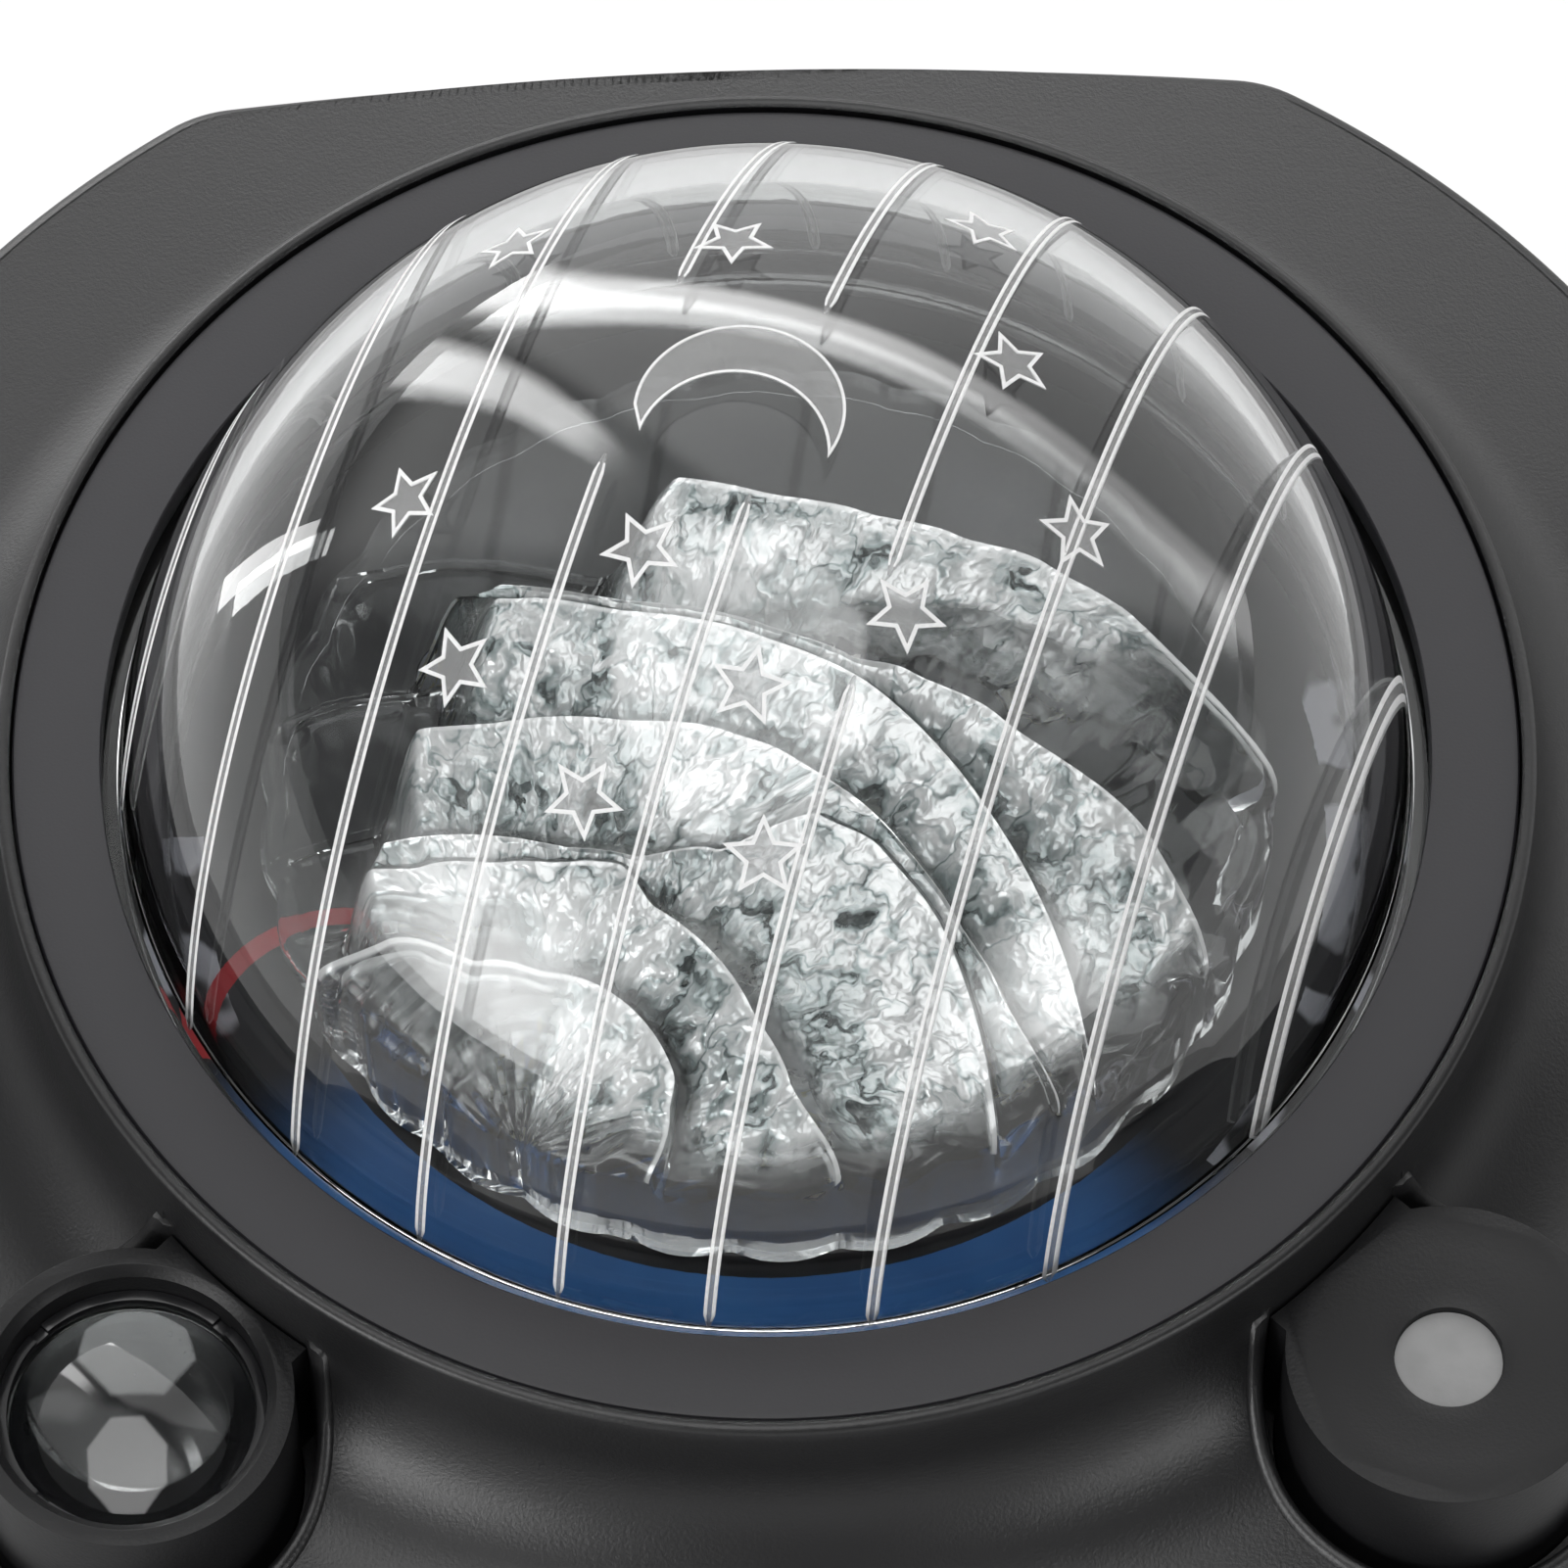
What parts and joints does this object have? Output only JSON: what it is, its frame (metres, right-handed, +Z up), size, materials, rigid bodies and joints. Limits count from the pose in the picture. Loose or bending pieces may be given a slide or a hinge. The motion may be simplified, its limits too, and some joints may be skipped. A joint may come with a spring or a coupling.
{
  "type": "star night light projector",
  "caption": "Table-top light projector: black drum case, clear engraved dome over a turning wave rotor, moon lens barrel and star laser barrel at the front corners.",
  "frame": {"origin": "centre of the footprint, on the plane that the feet stand on", "axes": "+Z up along the dome's axis, front with the push buttons towards -Y, moon lens on -X, star window on +X"},
  "size_m": [0.168, 0.1466, 0.113],
  "materials": {
    "case_black": "fine leather-like moulded texture, matte",
    "bezel_black": "fine matte texture",
    "lip_black": "satin",
    "clear": "clear moulded plastic, polished, engraved with grooves, stars and a crescent moon",
    "clear_wave": "clear moulded plastic with a hammered, rippled surface",
    "lens_glass": "polished",
    "frosted": "light grey translucent, frosted",
    "slide_film": "printed film",
    "blue_tray": "deep blue, glossy",
    "white_nylon": "natural nylon",
    "steel": "bright zinc or nickel plate",
    "aluminium": "extruded, bare",
    "brass": "turned",
    "board_green": "green solder mask",
    "board_white": "white solder mask",
    "chip_black": "moulded",
    "lamp_yellow": "phosphor coat",
    "rubber": "matte",
    "button_red": "satin",
    "button_grey": "satin"
  },
  "bodies": {
    "case": {"lower_case": "case_black", "upper_case": "case_black", "bezel_ring": "bezel_black", "dome_cover": "clear", "rubber_feet": "rubber", "case_screws": "steel", "moon_barrel": "case_black", "moon_lens": "lens_glass", "lens_ring": "lip_black", "moon_slide": "slide_film", "slide_sleeve": "lip_black", "moon_lamp": "lamp_yellow", "moon_lamp_board": "board_green", "star_barrel": "case_black", "star_window": "frosted", "laser_grating": "lens_glass", "laser_holder": "lip_black", "laser_module": "brass", "laser_board": "board_green", "barrel_screws": "steel", "rotor_pin": "steel", "drive_motor": "steel", "motor_screws": "steel", "light_tray": "blue_tray", "lamp_lenses": "clear", "lamps": "lamp_yellow", "lamp_board": "board_white", "lamp_board_screws": "steel", "heat_sink": "aluminium", "inner_frame": "lip_black", "frame_screws": "steel", "button_board": "board_green", "button_switches": "steel", "button_board_screws": "steel", "main_board": "board_green", "board_chips": "chip_black", "main_board_screws": "steel", "power_socket": "steel"},
    "rotor": {"wave_rotor": "clear_wave", "rotor_gear": "white_nylon"},
    "pinion": {"motor_pinion": "white_nylon"},
    "power_button": {"power_button": "button_red"},
    "colour_button": {"colour_button": "button_grey"},
    "speed_button": {"speed_button": "button_grey"},
    "star_button": {"star_button": "button_grey"}
  },
  "joints": [
    {"name": "rotor_spin", "type": "hinge", "parent": "case", "child": "rotor", "pos_m": [0, 0, 0.0616], "axis": [0, 0, 1], "continuous": true},
    {"name": "pinion_spin", "type": "hinge", "parent": "case", "child": "pinion", "pos_m": [0, 0.02, 0.0596], "axis": [0, 0, 1], "continuous": true},
    {"name": "power_press", "type": "slide", "parent": "case", "child": "power_button", "axis": [0, 1, 0], "range_m": [0, 0.0008], "stiffness_N_per_m": 300},
    {"name": "colour_press", "type": "slide", "parent": "case", "child": "colour_button", "axis": [0, 1, 0], "range_m": [0, 0.0008], "stiffness_N_per_m": 300},
    {"name": "speed_press", "type": "slide", "parent": "case", "child": "speed_button", "axis": [0, 1, 0], "range_m": [0, 0.0008], "stiffness_N_per_m": 300},
    {"name": "star_press", "type": "slide", "parent": "case", "child": "star_button", "axis": [0, 1, 0], "range_m": [0, 0.0008], "stiffness_N_per_m": 300}
  ],
  "couplings": [
    {"joint": "pinion_spin", "follows": "rotor_spin", "ratio": -3}
  ]
}
